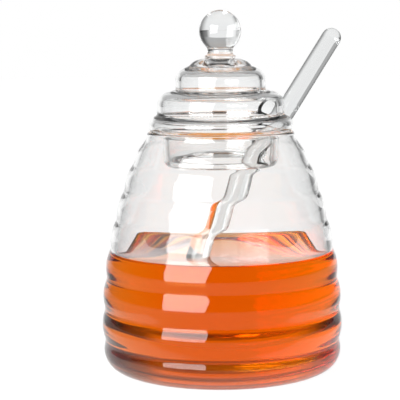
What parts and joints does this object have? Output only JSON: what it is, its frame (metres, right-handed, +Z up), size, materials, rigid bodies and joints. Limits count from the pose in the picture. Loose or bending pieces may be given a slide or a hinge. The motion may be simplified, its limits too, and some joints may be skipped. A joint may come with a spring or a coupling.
{
  "type": "honey jar with glass dipper",
  "caption": "Filled clear glass honey jar in a ribbed beehive shape, with a tiered glass lid with a ball knob, a leaning glass dipper and amber honey up to half its height.",
  "frame": {"origin": "centre of the jar's flat base, on the surface it stands on", "axes": "+Z up along the jar's axis; the dipper leans to +X, 19 degrees towards +Y; the camera of the first view looks along +Y"},
  "size_m": [0.1092, 0.108, 0.1602],
  "materials": {
    "jar_glass": "clear, glossy",
    "lid_glass": "clear, glossy",
    "dipper_glass": "clear, glossy",
    "honey": "liquid, glossy, translucent amber"
  },
  "bodies": {
    "root": {"jar": "jar_glass", "lid": "lid_glass", "dipper": "dipper_glass", "honey": "honey"}
  },
  "joints": []
}
